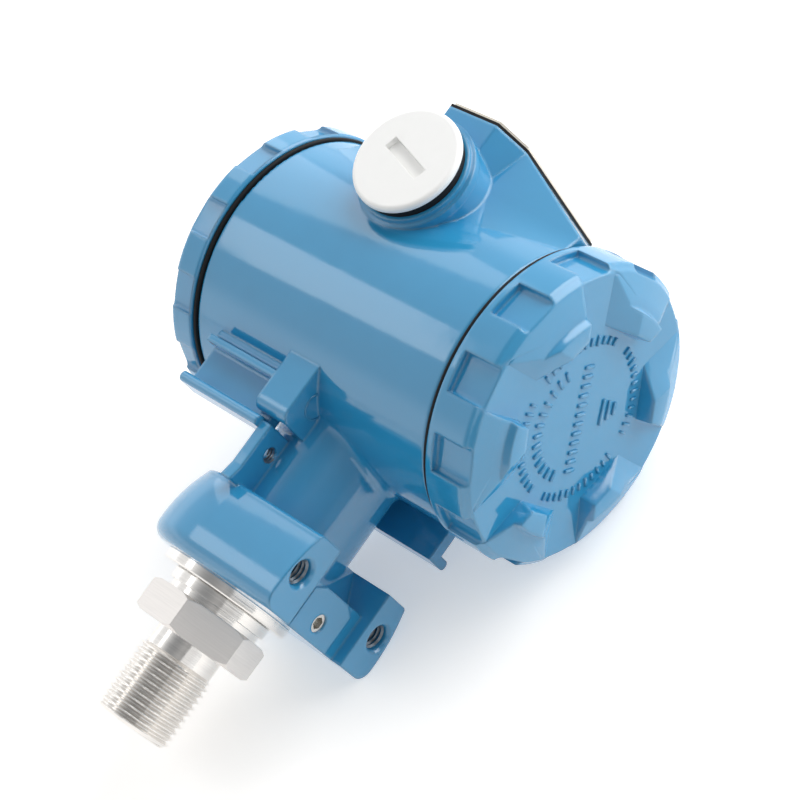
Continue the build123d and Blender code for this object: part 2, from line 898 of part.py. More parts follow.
def set_screw():
    """Hexagon socket set screw that locks the connector in the block."""
    tip_x = spigot_r - lock_groove_depth + slip_fit
    outer_x = panel_x - set_screw_recess
    point_r = set_screw_r - 1
    body = rod(set_screw_r, (tip_x + 1, 0, lock_groove_z), (outer_x, 0, lock_groove_z))
    point = Plane(origin=(tip_x, 0, lock_groove_z), z_dir=(1, 0, 0))
    body += point * Cone(point_r, set_screw_r, 1, align=on_floor)
    key = Plane(origin=(outer_x - set_screw_key_depth, 0, lock_groove_z), z_dir=(1, 0, 0))
    socket = RegularPolygon(set_screw_key_r, 6, major_radius=False)
    return body - extrude(key * socket, set_screw_key_depth + 1)


def sensor_lead():
    """Sheathed lead from the capsule up the neck and through the partition."""
    start = (neck_x, 0, capsule_top_z)
    bend = (neck_x, 0, lead_z)
    end = (lead_plug_x, 0, lead_z)
    path = FilletPolyline(start, bend, end, radius=lead_bend_r)
    return sweep(Plane(origin=start, z_dir=(0, 0, 1)) * Circle(lead_r), path=path)


def lead_connector():
    """Small plug of the lead on the back of the circuit board."""
    half = lead_plug_w / 2
    low = lead_z - lead_plug_h / 2
    return slab(lead_plug_x, board_x, -half, half, low, low + lead_plug_h)


def electronics_cup():
    """Moulded cup over the electronics, open towards the partition."""
    top_x = cup_x + cup_depth
    seat = Plane(origin=(cup_x, 0, barrel_z), x_dir=(0, 1, 0), z_dir=(1, 0, 0))
    shell = seat * Cylinder(cup_outer_r, cup_depth, align=on_floor)
    edge = shell.edges().filter_by(GeomType.CIRCLE).sort_by(Axis.X)[-1]
    shell = fillet(edge, cup_wall)
    inner = cup_outer_r - cup_wall
    shell -= rod(inner, (cup_x - 1, 0, barrel_z), (top_x - cup_wall, 0, barrel_z))
    ledge_x = cup_x + board_t
    ring = rod(inner, (ledge_x, 0, barrel_z), (ledge_x + cup_rim_t, 0, barrel_z))
    ring -= rod(inner - 2, (ledge_x - 1, 0, barrel_z), (ledge_x + cup_rim_t + 1, 0, barrel_z))
    shell += ring
    for y, z in stand_points(stand_pitch_r):
        shell += rod(module_boss_r, (ledge_x, y, z), (top_x - cup_wall / 2, y, z))
    for y, z in stand_points(stand_pitch_r):
        shell -= rod(module_screw_r + slip_fit, (cup_x - 1, y, z), (top_x + 1, y, z))
    window = slab(top_x - socket_depth, top_x + 1, -socket_w / 2, socket_w / 2, 0, socket_h)
    return shell - Pos(0, 0, barrel_z - socket_h / 2) * window


def circuit_board():
    """Round board of the electronics module."""
    board = rod(board_r, (board_x, 0, barrel_z), (board_x + board_t, 0, barrel_z))
    for y, z in stand_points(stand_pitch_r):
        board -= rod(module_screw_r + slip_fit, (board_x - 1, y, z), (board_x + board_t + 1, y, z))
    for y in pin_places():
        board -= rod(pin_r, (board_x - 1, y, barrel_z), (board_x + board_t + 1, y, barrel_z))
    return board


def module_screw(y, z):
    """Cheese head screw that holds the electronics cup."""
    top_x = cup_x + cup_depth
    body = rod(module_screw_r, (cup_x - module_screw_bite, y, z), (top_x, y, z))
    head = rod(module_screw_head_r, (top_x, y, z), (top_x + module_screw_head_t, y, z))
    cut = slab(-1, 1, -module_screw_head_r, module_screw_head_r, -slot_w / 2, slot_w / 2)
    return body + head - Pos(top_x + module_screw_head_t + 1 - slot_depth, y, z) * cut


def pin_places():
    """Sideways places of the feedthrough pins."""
    return [pin_pitch * (i - 1.5) for i in range(4)]


def feedthrough():
    """Sealed bush with four pins that pass the partition."""
    lip_x = partition_x - feed_lip
    body = rod(feed_r, (partition_x, 0, barrel_z), (partition_front_x, 0, barrel_z))
    body += rod(feed_lip_r, (lip_x, 0, barrel_z), (partition_x, 0, barrel_z))
    for y in pin_places():
        body += rod(pin_r, (lip_x - pin_reach, y, barrel_z), (board_x + board_t, y, barrel_z))
    return body


def terminal_places():
    """Sideways places of the terminals."""
    middle = (terminal_count - 1) / 2
    return [terminal_pitch * (i - middle) for i in range(terminal_count)]


def terminal_block():
    """Moulded block: round base on the partition and a bridge with open pockets."""
    body = rod(base_r, (base_x, 0, barrel_z), (partition_x, 0, barrel_z))
    body -= slab(base_x - 1, partition_x + 1, -base_r, base_r, 0, base_flat_z)
    body -= rod(base_recess_r, (partition_x - base_recess_t, 0, barrel_z), (partition_x + 1, 0, barrel_z))
    body += slab(bridge_x, base_x, -bridge_half_w, bridge_half_w, bridge_z, bridge_z + bridge_h)
    half = terminal_pocket_w / 2
    hole_end = pocket_x - clamp_t + terminal_screw_len
    for y in terminal_places():
        body -= slab(bridge_x - 1, pocket_x, y - half, y + half, bridge_z - 1, terminal_z + half)
        body -= rod(terminal_screw_r, (bridge_x, y, terminal_z), (hole_end, y, terminal_z))
    for side in (-1, 1):
        y = side * base_screw_y
        seat_x = base_x + base_screw_sink
        body -= rod(base_screw_head_r + screw_gap, (base_x - 1, y, base_screw_z), (seat_x, y, base_screw_z))
        body -= rod(base_screw_r, (base_x, y, base_screw_z), (partition_x + 1, y, base_screw_z))
    return body


def slotted_screw(y, z, seat_x, radius, length, head_r, head_t):
    """Screw along +X with a slotted head on the rear side of its seat."""
    top_x = seat_x - head_t
    body = rod(radius, (seat_x, y, z), (seat_x + length, y, z))
    head = rod(head_r, (top_x, y, z), (seat_x, y, z))
    rim = head.edges().filter_by(GeomType.CIRCLE).sort_by(Axis.X)[0]
    head = fillet(rim, head_t * 0.3)
    cut = slab(-1, 1, -head_r, head_r, -slot_w / 2, slot_w / 2)
    return body + head - Pos(top_x - 1 + slot_depth, y, z) * cut


def terminal_clamp(y):
    """Square wire clamp plate with a hole for its screw."""
    half = clamp_w / 2
    plate_x = pocket_x - clamp_t
    plate = slab(plate_x, pocket_x, y - half, y + half, terminal_z - half, terminal_z + half)
    return plate - rod(terminal_screw_r, (plate_x - 1, y, terminal_z), (pocket_x + 1, y, terminal_z))


def group(shapes):
    """Identical pieces kept together."""
    return Compound(children=list(shapes))


terminal_seat_x = pocket_x - clamp_t
base_seat_x = base_x + base_screw_sink
base_screw_len = base_t - base_screw_sink + base_screw_bite
earth_seat_x = partition_x - earth_pad_h

pieces = {
    "housing": housing(),
    "front_cover": front_seat() * cover(cover_rim_len, flute_margin),
    "rear_cover": rear_seat() * Rot(0, 0, rear_cover_turn) * cover(rear_rim_len, rear_flute_margin),
    "front_cover_seal": front_seat() * cover_seal(),
    "rear_cover_seal": rear_seat() * cover_seal(),
    "conduit_plug_left": conduit_seat(-1) * conduit_plug(),
    "conduit_plug_right": conduit_seat(1) * conduit_plug(),
    "plug_gasket_left": conduit_seat(-1) * plug_gasket(),
    "plug_gasket_right": conduit_seat(1) * plug_gasket(),
    "nameplate_gasket": plate_layer(roof_z, roof_z + plate_gasket_t, 0),
    "nameplate": plate_layer(roof_z + plate_gasket_t, plate_top_z, plate_inset),
    "nameplate_screws": group(plate_screw(side) for side in (-1, 1)),
    "process_connector": process_connector(),
    "connector_seal": connector_seal(),
    "sensor_capsule": sensor_capsule(),
    "capsule_seal": capsule_seal(),
    "capsule_retainer": capsule_retainer(),
    "sensor_set_screw": set_screw(),
    "sensor_lead": sensor_lead(),
    "lead_connector": lead_connector(),
    "electronics_cup": electronics_cup(),
    "circuit_board": circuit_board(),
    "module_screws": group(module_screw(y, z) for y, z in stand_points(stand_pitch_r)),
    "feedthrough": feedthrough(),
    "terminal_block": terminal_block(),
    "terminal_clamps": group(terminal_clamp(y) for y in terminal_places()),
    "terminal_screws": group(
        slotted_screw(y, terminal_z, terminal_seat_x, terminal_screw_r, terminal_screw_len,
                      terminal_head_r, terminal_head_t)
        for y in terminal_places()
    ),
    "terminal_block_screws": group(
        slotted_screw(side * base_screw_y, base_screw_z, base_seat_x, base_screw_r, base_screw_len,
                      base_screw_head_r, base_screw_head_t)
        for side in (-1, 1)
    ),
    "inner_earth_screw": slotted_screw(
        earth_y, earth_z, earth_seat_x, earth_screw_r, earth_screw_len, earth_head_r, earth_head_t
    ),
}

for name, shape in pieces.items():
    export_step(shape, os.path.join("parts", name + ".step"))
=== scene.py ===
import math

import bmesh
import bpy
from mathutils import Matrix, Vector


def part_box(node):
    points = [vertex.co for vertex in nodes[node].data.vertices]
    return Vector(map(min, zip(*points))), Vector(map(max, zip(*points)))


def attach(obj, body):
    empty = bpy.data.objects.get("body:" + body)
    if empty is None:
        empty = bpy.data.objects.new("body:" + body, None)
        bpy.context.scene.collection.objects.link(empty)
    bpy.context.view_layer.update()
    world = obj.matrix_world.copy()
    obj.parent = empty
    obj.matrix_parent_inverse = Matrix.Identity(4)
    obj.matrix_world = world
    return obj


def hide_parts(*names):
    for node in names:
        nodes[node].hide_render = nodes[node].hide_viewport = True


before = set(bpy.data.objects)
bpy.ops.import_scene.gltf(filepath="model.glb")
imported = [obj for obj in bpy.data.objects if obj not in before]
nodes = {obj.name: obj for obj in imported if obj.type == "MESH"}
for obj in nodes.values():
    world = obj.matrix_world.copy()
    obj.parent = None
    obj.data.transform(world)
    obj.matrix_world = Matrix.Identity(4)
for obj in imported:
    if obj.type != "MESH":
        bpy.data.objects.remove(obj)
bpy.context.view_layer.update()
mm = 0.001

# Camera: the part lies on its side and is seen from beyond its front cover,
# a little below the barrel, with the picture turned to put the thread at the
# lower left.
aim_point = Vector((8.81, 0, 79.14)) * mm
camera_distance = 523.7 * mm
azimuth = math.radians(37.17)
elevation = math.radians(-8.98)
roll = math.radians(35.66)
level = Vector((math.cos(azimuth), math.sin(azimuth), 0))
towards_camera = Vector((
    math.sin(azimuth) * math.cos(elevation),
    -math.cos(azimuth) * math.cos(elevation),
    math.sin(elevation),
))
upright = towards_camera.cross(level)
picture_right = level * math.cos(roll) + upright * math.sin(roll)
picture_up = upright * math.cos(roll) - level * math.sin(roll)
camera = bpy.data.objects.new("camera", bpy.data.cameras.new("camera"))
bpy.context.scene.collection.objects.link(camera)
turn = Matrix((picture_right, picture_up, towards_camera)).transposed().to_4x4()
camera.matrix_world = Matrix.Translation(aim_point + towards_camera * camera_distance) @ turn
camera.data.sensor_width = 36
camera.data.lens = 94.4
camera.data.clip_start = 0.02
camera.data.clip_end = 30
bpy.context.scene.camera = camera
bpy.context.scene.view_settings.view_transform = "Standard"

# Table: a plain white top, under the far rims of the covers and the far side of
# the block, so it leans against the part's own axes. It has no back, so that
# views from the other side see the part.
table_lean = 0.186
table_touch = Vector((0, 26.25, 20.8)) * mm
table_size = 4.0
table_lift = 0.40
table_up = Vector((0, -1, table_lean)).normalized()
table_away = (table_up * towards_camera.dot(table_up) - towards_camera).normalized()
table_right = table_away.cross(table_up)
table_turn = Matrix((table_right, table_away, table_up)).transposed().to_4x4()


def new_piece(name, bm, material):
    """Object made from a bmesh, with one material."""
    mesh = bpy.data.meshes.new(name)
    bm.to_mesh(mesh)
    bm.free()
    mesh.materials.append(material)
    piece = bpy.data.objects.new(name, mesh)
    bpy.context.scene.collection.objects.link(piece)
    return piece


def bare_material(name):
    """Material with an empty tree, and its output node."""
    material = bpy.data.materials.new(name)
    material.use_nodes = True
    material.node_tree.nodes.clear()
    output = material.node_tree.nodes.new("ShaderNodeOutputMaterial")
    return material, material.node_tree, output


def table_top():
    """White top that catches shadows, is lifted to white where it is seen or
    mirrored, and is open from behind."""
    material, tree, output = bare_material("table_top")
    top = tree.nodes.new("ShaderNodeBsdfPrincipled")
    top.inputs["Base Color"].default_value = (0.88, 0.86, 0.835, 1)
    top.inputs["Roughness"].default_value = 0.55
    top.inputs["Specular IOR Level"].default_value = 0.15
    lift = tree.nodes.new("ShaderNodeEmission")
    path = tree.nodes.new("ShaderNodeLightPath")
    seen = tree.nodes.new("ShaderNodeMath")
    seen.operation = "MAXIMUM"
    lifted = tree.nodes.new("ShaderNodeMath")
    lifted.operation = "MULTIPLY"
    lifted.inputs[1].default_value = table_lift
    lit = tree.nodes.new("ShaderNodeAddShader")
    open_back = tree.nodes.new("ShaderNodeBsdfTransparent")
    side = tree.nodes.new("ShaderNodeNewGeometry")
    through = tree.nodes.new("ShaderNodeMath")
    through.operation = "MAXIMUM"
    mix = tree.nodes.new("ShaderNodeMixShader")
    tree.links.new(path.outputs["Is Camera Ray"], seen.inputs[0])
    tree.links.new(path.outputs["Is Glossy Ray"], seen.inputs[1])
    tree.links.new(seen.outputs[0], lifted.inputs[0])
    tree.links.new(lifted.outputs[0], lift.inputs["Strength"])
    tree.links.new(side.outputs["Backfacing"], through.inputs[0])
    tree.links.new(path.outputs["Is Shadow Ray"], through.inputs[1])
    tree.links.new(through.outputs[0], mix.inputs["Fac"])
    tree.links.new(top.outputs[0], lit.inputs[0])
    tree.links.new(lift.outputs[0], lit.inputs[1])
    tree.links.new(lit.outputs[0], mix.inputs[1])
    tree.links.new(open_back.outputs[0], mix.inputs[2])
    tree.links.new(mix.outputs[0], output.inputs["Surface"])
    return material


bm = bmesh.new()
place = Matrix.Translation(table_touch) @ table_turn
bmesh.ops.create_grid(bm, x_segments=1, y_segments=1, size=table_size / 2, matrix=place)
table = new_piece("table", bm, table_top())

# Studio: a pale room, bright low down on the far side and darker overhead and
# behind the camera, with soft lamps that the gloss paint and the steel mirror.
# The camera itself sees plain white round the table.
mirrored_gain = 0.05
world = bpy.data.worlds.new("studio")
bpy.context.scene.world = world
world.use_nodes = True
room = world.node_tree
room.nodes.clear()
room_seen = room.nodes.new("ShaderNodeBackground")
room_lit = room.nodes.new("ShaderNodeBackground")
direction = room.nodes.new("ShaderNodeTexCoord")
height = room.nodes.new("ShaderNodeVectorMath")
height.operation = "DOT_PRODUCT"
height.inputs[1].default_value = table_up
walls = room.nodes.new("ShaderNodeValToRGB")
walls.color_ramp.elements[0].position = 0.20
walls.color_ramp.elements[0].color = (1.30, 1.32, 1.34, 1)
walls.color_ramp.elements[1].position = 1.0
walls.color_ramp.elements[1].color = (0.33, 0.34, 0.35, 1)
for position, grey in ((0.36, 0.92), (0.85, 0.80)):
    step = walls.color_ramp.elements.new(position)
    step.color = (grey, grey, grey, 1)
lit_side = room.nodes.new("ShaderNodeVectorMath")
lit_side.operation = "DOT_PRODUCT"
lit_side.inputs[1].default_value = table_away
share = room.nodes.new("ShaderNodeMapRange")
share.inputs["From Min"].default_value = -0.9
share.inputs["From Max"].default_value = 0.3
share.inputs["To Min"].default_value = 0.26
share.inputs["To Max"].default_value = 1.0
room_path = room.nodes.new("ShaderNodeLightPath")
mirrored = room.nodes.new("ShaderNodeMath")
mirrored.operation = "MULTIPLY_ADD"
mirrored.inputs[1].default_value = mirrored_gain
seen_mix = room.nodes.new("ShaderNodeMixShader")
room_output = room.nodes.new("ShaderNodeOutputWorld")
room.links.new(direction.outputs["Generated"], height.inputs[0])
room.links.new(height.outputs["Value"], walls.inputs["Fac"])
room.links.new(walls.outputs["Color"], room_lit.inputs["Color"])
room.links.new(direction.outputs["Generated"], lit_side.inputs[0])
room.links.new(lit_side.outputs["Value"], share.inputs["Value"])
room.links.new(room_path.outputs["Is Glossy Ray"], mirrored.inputs[0])
room.links.new(share.outputs["Result"], mirrored.inputs[2])
room.links.new(mirrored.outputs[0], room_lit.inputs["Strength"])
room.links.new(room_path.outputs["Is Camera Ray"], seen_mix.inputs["Fac"])
room.links.new(room_lit.outputs[0], seen_mix.inputs[1])
room.links.new(room_seen.outputs[0], seen_mix.inputs[2])
room.links.new(seen_mix.outputs[0], room_output.inputs["Surface"])


def softbox(name, side, height, distance, width, depth, power):
    """Soft lamp aimed at the part: degrees to the right of away and above the
    table, then its distance, width and depth in metres, and its power in watts."""
    heading = math.radians(side)
    rise = math.radians(height)
    flat = table_away * math.cos(heading) + table_right * math.sin(heading)
    way = flat * math.cos(rise) + table_up * math.sin(rise)
    lamp = bpy.data.lights.new(name, "AREA")
    lamp.shape = "RECTANGLE"
    lamp.size = width
    lamp.size_y = depth
    lamp.energy = power
    holder = bpy.data.objects.new(name, lamp)
    bpy.context.scene.collection.objects.link(holder)
    holder.location = aim_point + way * distance
    holder.rotation_euler = way.to_track_quat("Z", "Y").to_euler()
    holder.visible_camera = False
    return holder


softbox("right_softbox", 84, 30, 1.1, 1.45, 0.9, 12.0)
softbox("back_panel", 6, 25, 1.1, 0.80, 0.50, 1.2)
softbox("left_softbox", -49, 47, 0.95, 0.20, 0.34, 0.32)
softbox("front_fill", 172, 16, 1.1, 1.0, 0.5, 1.1)
softbox("under_table_lamp", 0, -75, 0.9, 0.8, 0.8, 2.8)

# Housing: one aluminium casting, sprayed with gloss blue paint that has a faint
# orange peel and rounds off every cast edge.
paint_blue = (0.028, 0.280, 0.530)
gloss_spread = 0.12


def surface_grain():
    """Node group: tone, gloss and relief of a surface, with softened edges."""
    group = bpy.data.node_groups.new("surface_grain", "ShaderNodeTree")
    socket = group.interface.new_socket
    socket("Colour", in_out="INPUT", socket_type="NodeSocketColor")
    socket("Gloss", in_out="INPUT", socket_type="NodeSocketFloat")
    socket("Scale", in_out="INPUT", socket_type="NodeSocketFloat")
    socket("Stretch", in_out="INPUT", socket_type="NodeSocketVector")
    socket("Depth", in_out="INPUT", socket_type="NodeSocketFloat")
    socket("Spread", in_out="INPUT", socket_type="NodeSocketFloat")
    socket("Edge", in_out="INPUT", socket_type="NodeSocketFloat")
    socket("Colour", in_out="OUTPUT", socket_type="NodeSocketColor")
    socket("Roughness", in_out="OUTPUT", socket_type="NodeSocketFloat")
    socket("Normal", in_out="OUTPUT", socket_type="NodeSocketVector")
    entry = group.nodes.new("NodeGroupInput")
    leave = group.nodes.new("NodeGroupOutput")
    place = group.nodes.new("ShaderNodeTexCoord")
    mapping = group.nodes.new("ShaderNodeMapping")
    noise = group.nodes.new("ShaderNodeTexNoise")
    noise.inputs["Detail"].default_value = 3
    edge = group.nodes.new("ShaderNodeBevel")
    edge.samples = 6
    bump = group.nodes.new("ShaderNodeBump")
    tone = group.nodes.new("ShaderNodeMath")
    tone.operation = "MULTIPLY_ADD"
    tint = group.nodes.new("ShaderNodeVectorMath")
    tint.operation = "SCALE"
    centred = group.nodes.new("ShaderNodeMath")
    centred.operation = "SUBTRACT"
    centred.inputs[1].default_value = 0.5
    gloss = group.nodes.new("ShaderNodeMath")
    gloss.operation = "MULTIPLY_ADD"
    gloss.inputs[1].default_value = gloss_spread
    tone.inputs[2].default_value = 1
    link = group.links.new
    link(place.outputs["Object"], mapping.inputs["Vector"])
    link(entry.outputs["Stretch"], mapping.inputs["Scale"])
    link(mapping.outputs["Vector"], noise.inputs["Vector"])
    link(entry.outputs["Scale"], noise.inputs["Scale"])
    link(noise.outputs["Fac"], centred.inputs[0])
    link(centred.outputs[0], tone.inputs[0])
    link(entry.outputs["Spread"], tone.inputs[1])
    link(entry.outputs["Colour"], tint.inputs[0])
    link(tone.outputs[0], tint.inputs["Scale"])
    link(centred.outputs[0], gloss.inputs[0])
    link(entry.outputs["Gloss"], gloss.inputs[2])
    link(entry.outputs["Edge"], edge.inputs["Radius"])
    link(edge.outputs["Normal"], bump.inputs["Normal"])
    link(noise.outputs["Fac"], bump.inputs["Height"])
    link(entry.outputs["Depth"], bump.inputs["Distance"])
    link(tint.outputs["Vector"], leave.inputs["Colour"])
    link(gloss.outputs[0], leave.inputs["Roughness"])
    link(bump.outputs["Normal"], leave.inputs["Normal"])
    return group


grain = surface_grain()


def finish(
    name,
    colour,
    gloss,
    scale,
    depth,
    spread,
    edge=0.0,
    stretch=(1, 1, 1),
    metal=0.0,
    specular=0.5,
    ior=1.5,
):
    """Material of one finish. Gloss is its roughness; scale, depth in metres and
    spread of tone are its grain's, and edge is the radius of softened edges."""
    material, tree, output = bare_material(name)
    surface = tree.nodes.new("ShaderNodeBsdfPrincipled")
    surface.inputs["Metallic"].default_value = metal
    surface.inputs["Specular IOR Level"].default_value = specular
    surface.inputs["IOR"].default_value = ior
    effect = tree.nodes.new("ShaderNodeGroup")
    effect.node_tree = grain
    effect.inputs["Colour"].default_value = (*colour, 1)
    effect.inputs["Gloss"].default_value = gloss
    effect.inputs["Scale"].default_value = scale
    effect.inputs["Stretch"].default_value = stretch
    effect.inputs["Depth"].default_value = depth
    effect.inputs["Spread"].default_value = spread
    effect.inputs["Edge"].default_value = edge
    tree.links.new(effect.outputs["Colour"], surface.inputs["Base Color"])
    tree.links.new(effect.outputs["Roughness"], surface.inputs["Roughness"])
    tree.links.new(effect.outputs["Normal"], surface.inputs["Normal"])
    tree.links.new(surface.outputs[0], output.inputs["Surface"])
    return material


def dress(names, material):
    """Give CAD nodes their material."""
    for name in names:
        nodes[name].data.materials.clear()
        nodes[name].data.materials.append(material)


blue_paint = finish(
    "blue_gloss_paint", paint_blue, 0.09, 160, 0.00002, 0.07, edge=0.0011, specular=0.95, ior=1.55
)
dress(["housing"], blue_paint)

# Tapped holes: a helical ridge of bare metal in each bracket hole and each ear,
# where the casting has plain bores.
bare_metal = finish("cut_aluminium", (0.16, 0.19, 0.22), 0.32, 900, 0.00001, 0.2, metal=0.8)
ridge_sink = 0.1 * mm
ridge_foot = 0.8
ridge_top = 0.4
bracket_hole_y = 20.65 * mm
bracket_hole_z = 27.8 * mm
bracket_face_x = 31.0 * mm
bracket_thread_inset = 1.1 * mm
ear_hole = Vector((-1.3, -19.9, 47.7)) * mm


def tapped_thread(name, mouth, way, bore_r, pitch, turns, height, material):
    """Helical ridge in a tapped hole, from its mouth along the way in."""
    bm = bmesh.new()
    foot_r = bore_r + ridge_sink
    ridge = [(foot_r, 0), (foot_r, pitch * ridge_foot), (bore_r - height, pitch * ridge_top)]
    corners = [bm.verts.new((r, 0, z)) for r, z in ridge]
    face = bm.faces.new(corners)
    steps = 28
    bmesh.ops.spin(
        bm,
        geom=[face, *face.edges, *face.verts],
        cent=(0, 0, 0),
        axis=(0, 0, 1),
        dvec=(0, 0, pitch / steps),
        angle=2 * math.pi * turns,
        steps=steps * turns,
    )
    bmesh.ops.recalc_face_normals(bm, faces=bm.faces)
    seat = Vector(way).to_track_quat("Z", "Y").to_matrix().to_4x4()
    bmesh.ops.transform(bm, matrix=Matrix.Translation(Vector(mouth)) @ seat, verts=bm.verts)
    for each in bm.faces:
        each.smooth = True
    piece = new_piece(name, bm, material)
    piece.data.set_sharp_from_angle(angle=math.radians(40))
    return piece


for side, name in ((-1, "left_bracket_thread"), (1, "right_bracket_thread")):
    mouth = (bracket_face_x - bracket_thread_inset, side * bracket_hole_y, bracket_hole_z)
    thread = tapped_thread(
        name,
        mouth,
        way=(-1, 0, 0),
        bore_r=3.4 * mm,
        pitch=1.25 * mm,
        turns=7,
        height=0.55 * mm,
        material=bare_metal,
    )
    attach(thread, "transmitter_body")
for side, name in ((1, "left_ear_thread"), (-1, "right_ear_thread")):
    mouth = (side * ear_hole.x, side * ear_hole.y, ear_hole.z)
    thread = tapped_thread(
        name,
        mouth,
        way=(side, 0, 0),
        bore_r=2.1 * mm,
        pitch=0.8 * mm,
        turns=3,
        height=0.4 * mm,
        material=bare_metal,
    )
    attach(thread, "transmitter_body")

# Sign rings: a plain raised ring cast on the front face of each label pad, in
# the casting's paint.
sign_centre = Vector((5.2, -21.0, 63.4)) * mm
sign_r = 3.4 * mm
sign_line = 0.55 * mm
sign_rise = 0.25 * mm


def raised_ring(name, centre, way, radius, line, rise, material):
    """Flat raised ring that faces along the way."""
    bm = bmesh.new()
    inner = radius - line / 2
    outer = radius + line / 2
    section = [(inner, -rise), (outer, -rise), (outer, rise), (inner, rise)]
    corners = [bm.verts.new((r, 0, z)) for r, z in section]
    face = bm.faces.new(corners)
    bmesh.ops.spin(
        bm,
        geom=[*face.edges, *face.verts],
        cent=(0, 0, 0),
        axis=(0, 0, 1),
        angle=2 * math.pi,
        steps=64,
        use_merge=True,
    )
    bm.faces.remove(face)
    bmesh.ops.remove_doubles(bm, verts=bm.verts, dist=1e-7)
    bmesh.ops.recalc_face_normals(bm, faces=bm.faces)
    seat = Vector(way).to_track_quat("Z", "Y").to_matrix().to_4x4()
    bmesh.ops.transform(bm, matrix=Matrix.Translation(Vector(centre)) @ seat, verts=bm.verts)
    return new_piece(name, bm, material)


for side, name in ((1, "left_sign_ring"), (-1, "right_sign_ring")):
    centre = (side * sign_centre.x, side * sign_centre.y, sign_centre.z)
    ring = raised_ring(name, centre, (side, 0, 0), sign_r, sign_line, sign_rise, blue_paint)
    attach(ring, "transmitter_body")

# Covers: cast caps in the same paint. Each face carries plain raised marks: a
# ring of ticks, an inner arc, a straight row and three bars. Angles here are in
# degrees.
dress(["front_cover", "rear_cover"], blue_paint)
solid_lug_height = 2.4 * mm
barrel_z = 96.0 * mm
mark_rise = 0.5 * mm
mark_sink = 0.2 * mm
mark_round = 0.16 * mm
tick_count = 56
tick_run = 14
tick_gaps = (12, 13)
long_every = 4
tick_r = 20.3 * mm
tick_w = 0.75 * mm
short_tick = 2.2 * mm
long_tick = 2.8 * mm
arc_count = 13
arc_start = -108
arc_step = 10.4
arc_r = 14.9 * mm
arc_tick = 3.0 * mm
arc_tick_w = 0.85 * mm
row_count = 12
row_turn = 48
row_step = 2.5 * mm
row_tick = 3.3 * mm
row_tick_w = 0.9 * mm
bar_lengths = (7.0, 5.2, 3.4)
bar_start = 8.5
bar_step = 2.3
bar_w = 1.0 * mm


def add_mark(bm, angle, radius, along, across):
    """One raised bar on a cover's face, in the face's own plane."""
    turned = Matrix.Rotation(math.radians(angle), 4, "Z")
    place = turned @ Matrix.Translation((radius, 0, (mark_rise - mark_sink) / 2))
    size = Matrix.Diagonal((along, across, mark_rise + mark_sink, 1))
    bmesh.ops.create_cube(bm, size=1, matrix=place @ size)


def cover_marks(name, seat, material):
    """Raised ticks and bars of one cover."""
    bm = bmesh.new()
    for index in range(tick_count):
        if index % tick_run in tick_gaps:
            continue
        length = long_tick if index % long_every == 0 else short_tick
        add_mark(bm, index * 360 / tick_count, tick_r, length, tick_w)
    for index in range(arc_count):
        add_mark(bm, arc_start + index * arc_step, arc_r, arc_tick, arc_tick_w)
    for index in range(row_count):
        along = (index - (row_count - 1) / 2) * row_step
        angle = row_turn if along > 0 else row_turn + 180
        add_mark(bm, angle, abs(along), row_tick_w, row_tick)
    for index, length in enumerate(bar_lengths):
        add_mark(bm, row_turn + 90, (bar_start + bar_step * index) * mm, bar_w, length * mm)
    bmesh.ops.bevel(
        bm,
        geom=bm.edges[:],
        offset=mark_round,
        segments=2,
        profile=0.5,
        affect="EDGES",
        material=-1,
    )
    bmesh.ops.transform(bm, matrix=seat, verts=bm.verts)
    bmesh.ops.recalc_face_normals(bm, faces=bm.faces)
    for each in bm.faces:
        each.smooth = True
    piece = new_piece(name, bm, material)
    piece.data.set_sharp_from_angle(angle=math.radians(50))
    return piece


def face_seat(face_x, out, up):
    """Seat on a cover's face: its Z points out of the face, its Y up or down."""
    return Matrix((
        (0, 0, out, face_x),
        (-out, 0, 0, 0),
        (0, up, 0, barrel_z),
        (0, 0, 0, 1),
    ))


front_face_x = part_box("front_cover")[1].x - solid_lug_height
rear_face_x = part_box("rear_cover")[0].x + solid_lug_height
for name, seat, body in (
    ("front_cover_marks", face_seat(front_face_x, 1, 1), "front_cover_screwed"),
    ("rear_cover_marks", face_seat(rear_face_x, -1, 1), "rear_cover_screwed"),
):
    marks = cover_marks(name, seat, blue_paint)
    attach(marks, body)

# Grip lugs: six on each cover, cast with it and painted, with a steep wall to
# the middle, a long ramp at one end and a steep wall at the other. They enclose
# the cover's own low lugs. A corner is its radius, angle in degrees and height.
lug_count = 6
lug_phase = 12.0
rear_turn = 1.3
front_crest = 4.3 * mm
rear_crest = 3.3 * mm
lug_foot_r = 24.0 * mm
lug_wall_lean = 0.23
lug_steep_angle = -18.7
lug_ramp_angle = 17.5
lug_break_angle = -3.0
lug_crest_r = 29.2 * mm
lug_crest_angle = -19.2
lug_sink = 1.0 * mm
lug_root_r = 20.0 * mm
lug_reach = 26
lug_round = 0.3 * mm
step_foot = (29.85 * mm, 2.5 * mm)
slope_top = (30.6 * mm, 2.46 * mm)
slope_foot = (36.9 * mm, 0.15 * mm)
ramp_rim = (37.2 * mm, 21.5, -0.45 * mm)
steep_rim = (39.2 * mm, -22.6, -1.35 * mm)
keen_angle = math.radians(18)


def lug_corner(radius, angle, height):
    """Corner of a lug; the angle runs towards its long ramp."""
    return Matrix.Rotation(math.radians(angle), 3, "Z") @ Vector((radius, 0, height))


def cut_off(bm, first, second, third):
    """Cut a closed solid along the plane of three corners, and close the cut."""
    geometry = [*bm.verts, *bm.edges, *bm.faces]
    way = (second - first).cross(third - first)
    cut = bmesh.ops.bisect_plane(
        bm, geom=geometry, plane_co=first, plane_no=way, clear_outer=True, dist=1e-8
    )
    rim = [e for e in cut["geom_cut"] if isinstance(e, bmesh.types.BMEdge)]
    bmesh.ops.edgeloop_fill(bm, edges=rim)


